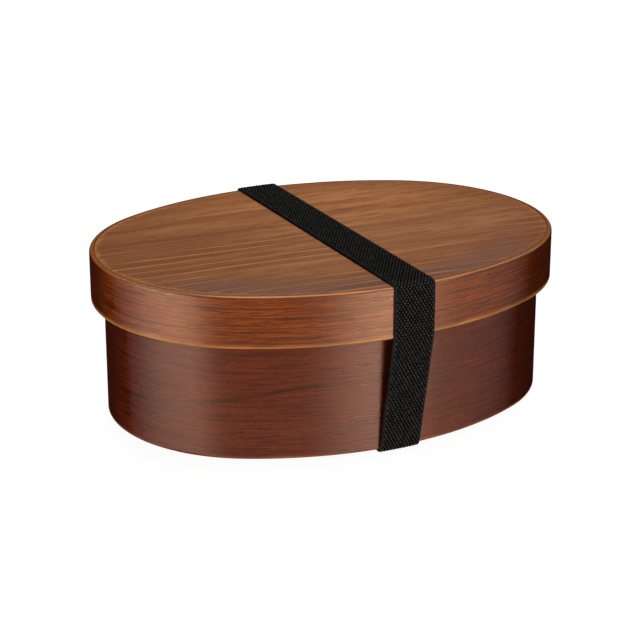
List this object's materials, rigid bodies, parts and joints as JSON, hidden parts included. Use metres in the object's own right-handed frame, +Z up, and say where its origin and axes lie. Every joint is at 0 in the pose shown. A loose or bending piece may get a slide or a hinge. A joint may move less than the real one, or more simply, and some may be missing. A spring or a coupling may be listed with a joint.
{
  "type": "bento box",
  "caption": "Oval bentwood lunch box with a covering lid, a loose divider and an elastic band round its middle that holds it shut.",
  "frame": {"origin": "on the resting surface, under the middle of the box", "axes": "+X along the box's length, +Y across it to the back, +Z up"},
  "size_m": [0.2, 0.153, 0.0724],
  "materials": {
    "dark_wood": "dark red-brown stain under thin satin lacquer",
    "lid_wood": "red-brown stain under thin satin lacquer",
    "elastic_webbing": "black woven elastic",
    "sewing_thread": "black polyester thread"
  },
  "bodies": {
    "box": {"box_wall": "dark_wood", "base_board": "dark_wood"},
    "divider": {"divider": "dark_wood"},
    "lid": {"lid_rim": "lid_wood", "lid_board": "lid_wood"},
    "band_lower": {"band_lower_half": "elastic_webbing", "band_stitching": "sewing_thread"},
    "band_upper": {"band_upper_half": "elastic_webbing"}
  },
  "joints": [
    {"name": "lid_lift", "type": "slide", "parent": "box", "child": "lid", "axis": [0, 0, 1], "range_m": [0, 0.06]},
    {"name": "divider_lift", "type": "slide", "parent": "box", "child": "divider", "axis": [0, 0, 1], "range_m": [0, 0.012]},
    {"name": "band_slide", "type": "slide", "parent": "box", "child": "band_lower", "axis": [1, 0, 0], "range_m": [-0.115, 0.115]},
    {"name": "band_stretch", "type": "slide", "parent": "band_lower", "child": "band_upper", "axis": [0, 0, 1], "range_m": [0, 0.06]}
  ],
  "couplings": [
    {"joint": "band_stretch", "follows": "lid_lift", "ratio": 1}
  ]
}
